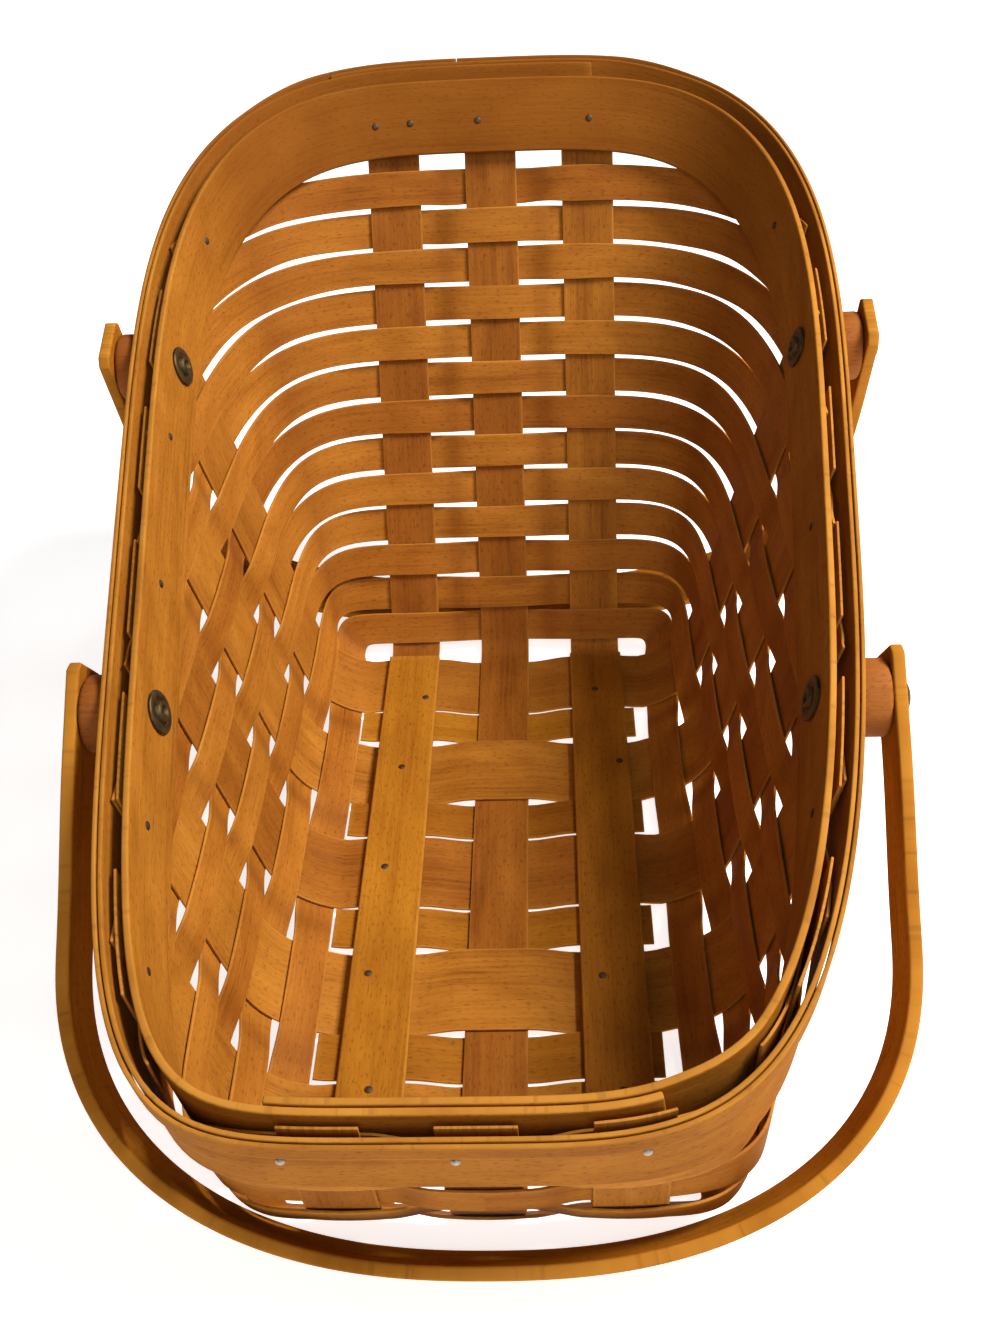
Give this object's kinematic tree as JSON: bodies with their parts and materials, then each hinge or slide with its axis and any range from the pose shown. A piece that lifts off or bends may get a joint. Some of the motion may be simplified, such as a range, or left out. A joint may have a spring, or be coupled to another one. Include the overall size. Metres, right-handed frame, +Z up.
{
  "type": "vegetable basket",
  "caption": "Woven splint basket with a high back and a low front, floor runners, a doubled rim band and swing handles, for gathering and carrying vegetables.",
  "frame": {"origin": "on the ground under the middle of the floor, on the underside of the middle cross splint", "axes": "+Z up, +Y to the high back, +X to the right seen from the low front"},
  "size_m": [0.2516, 0.3677, 0.1983],
  "materials": {
    "weaver_wood": "golden stained splint, satin",
    "upright_wood": "golden stained splint, satin",
    "floor_wood": "golden stained slat, satin",
    "rim_wood": "golden stained band, satin",
    "handle_wood": "stained bent strip, satin",
    "spacer_wood": "stained turned wood, matt",
    "rivet_metal": "darkened antique brass"
  },
  "bodies": {
    "basket": {"weaver_row_01": "weaver_wood", "weaver_row_02": "weaver_wood", "weaver_row_03": "weaver_wood", "weaver_row_04": "weaver_wood", "weaver_row_05": "weaver_wood", "weaver_row_06": "weaver_wood", "weaver_row_07": "weaver_wood", "weaver_row_08": "weaver_wood", "weaver_row_09": "weaver_wood", "weaver_row_10": "weaver_wood", "weaver_row_11": "weaver_wood", "weaver_row_12": "weaver_wood", "weaver_row_13": "weaver_wood", "cross_splint_1": "upright_wood", "cross_splint_2": "upright_wood", "cross_splint_3": "upright_wood", "cross_splint_4": "upright_wood", "cross_splint_5": "upright_wood", "lengthwise_splint_left": "upright_wood", "lengthwise_splint_middle": "upright_wood", "lengthwise_splint_right": "upright_wood", "floor_filler_1": "floor_wood", "floor_filler_2": "floor_wood", "floor_filler_3": "floor_wood", "floor_filler_4": "floor_wood", "floor_runner_left": "floor_wood", "floor_runner_right": "floor_wood", "rim_band_inner": "rim_wood", "rim_band_outer": "rim_wood", "rim_trim": "rim_wood", "rivet_front_left": "rivet_metal", "rivet_front_right": "rivet_metal", "rivet_rear_left": "rivet_metal", "rivet_rear_right": "rivet_metal", "spacer_front_left": "spacer_wood", "spacer_front_right": "spacer_wood", "spacer_rear_left": "spacer_wood", "spacer_rear_right": "spacer_wood"},
    "front_handle": {"front_handle": "handle_wood"},
    "rear_handle": {"rear_handle": "handle_wood"}
  },
  "joints": [
    {"name": "front_handle_swing", "type": "hinge", "parent": "basket", "child": "front_handle", "pos_m": [0, -0.031, 0.10143], "axis": [1, 0, 0], "range_deg": [-180, 0]},
    {"name": "rear_handle_swing", "type": "hinge", "parent": "basket", "child": "rear_handle", "pos_m": [0, 0.094, 0.14385], "axis": [1, 0, 0], "range_deg": [0, 240]}
  ]
}
